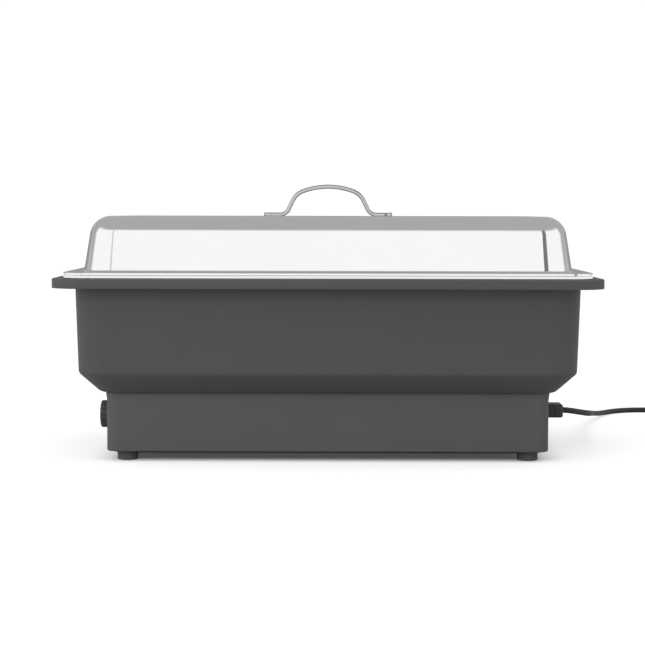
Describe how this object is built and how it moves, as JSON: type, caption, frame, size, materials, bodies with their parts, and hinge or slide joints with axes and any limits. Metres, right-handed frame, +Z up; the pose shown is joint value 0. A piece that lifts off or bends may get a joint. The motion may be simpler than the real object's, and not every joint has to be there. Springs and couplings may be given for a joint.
{
  "type": "electric buffet server",
  "caption": "Electric buffet server: grey plastic tub on a base box, polished lift-off lid with strap handle, water-bath pan, thermostat knob and mains lead.",
  "frame": {"origin": "centre of the footprint, on the plane that the feet stand on", "axes": "+Z up, +X along the length towards the mains lead, -Y the long front side, the knob is on the -X end"},
  "size_m": [0.8021, 0.5309, 0.2894],
  "materials": {
    "grey_plastic": "fine matt grain",
    "base_plastic": "fine matt grain",
    "cover_plastic": "matt",
    "black_plastic": "satin",
    "polished_steel": "polished",
    "brushed_steel": "brushed",
    "satin_handle": "satin",
    "zinc_steel": "zinc plated",
    "foot_rubber": "matt",
    "aluminium": "milled",
    "heater_sheath": "oxidised",
    "insulation": "felted",
    "ceramic": "matt",
    "copper": "drawn",
    "dial_print": "printed",
    "pointer_white": "gloss",
    "amber_lens": "clear",
    "cord_pvc": "satin",
    "wire_brown": "satin",
    "wire_blue": "satin",
    "wire_green": "satin"
  },
  "bodies": {
    "root": {"tub_housing": "grey_plastic", "water_basin": "brushed_steel", "base_housing": "base_plastic", "housing_screws": "zinc_steel", "bottom_cover": "cover_plastic", "cover_screws": "zinc_steel", "foot_front_left": "foot_rubber", "foot_front_right": "foot_rubber", "foot_back_left": "foot_rubber", "foot_back_right": "foot_rubber", "foot_screws": "zinc_steel", "heat_spreader": "aluminium", "heater_tube": "heater_sheath", "heater_clamps": "zinc_steel", "clamp_nuts": "zinc_steel", "insulation_pad": "insulation", "heat_shield": "zinc_steel", "thermal_cutout": "ceramic", "thermostat_body": "ceramic", "thermostat_screws": "zinc_steel", "capillary_tube": "copper", "sensor_bulb": "copper", "bulb_clips": "zinc_steel", "dial_plate": "dial_print", "lamp_holder": "black_plastic", "lamp_lens": "amber_lens", "terminal_block": "ceramic", "appliance_inlet": "black_plastic", "inlet_pins": "zinc_steel", "inlet_screws": "zinc_steel", "live_wire": "wire_brown", "neutral_wire": "wire_blue", "earth_wire": "wire_green"},
    "pan": {"food_pan": "brushed_steel"},
    "lid": {"lid_shell": "polished_steel", "lid_handle": "satin_handle"},
    "knob": {"thermostat_knob": "black_plastic", "knob_pointer": "pointer_white", "thermostat_shaft": "zinc_steel"},
    "cord_set": {"connector_body": "black_plastic", "supply_cord": "cord_pvc", "cord_coil": "cord_pvc", "cord_tail": "cord_pvc", "plug_body": "black_plastic", "plug_pins": "zinc_steel"}
  },
  "joints": [
    {"name": "pan_lift", "type": "slide", "parent": "root", "child": "pan", "axis": [0, 0, 1], "range_m": [0, 0.1]},
    {"name": "lid_lift", "type": "slide", "parent": "pan", "child": "lid", "axis": [0, 0, 1], "range_m": [0, 0.15]},
    {"name": "knob_turn", "type": "hinge", "parent": "root", "child": "knob", "pos_m": [-0.24, 0, 0.036], "axis": [1, 0, 0], "range_deg": [0, 270]},
    {"name": "connector_unplug", "type": "slide", "parent": "root", "child": "cord_set", "axis": [1, 0, 0], "range_m": [0, 0.03]}
  ]
}
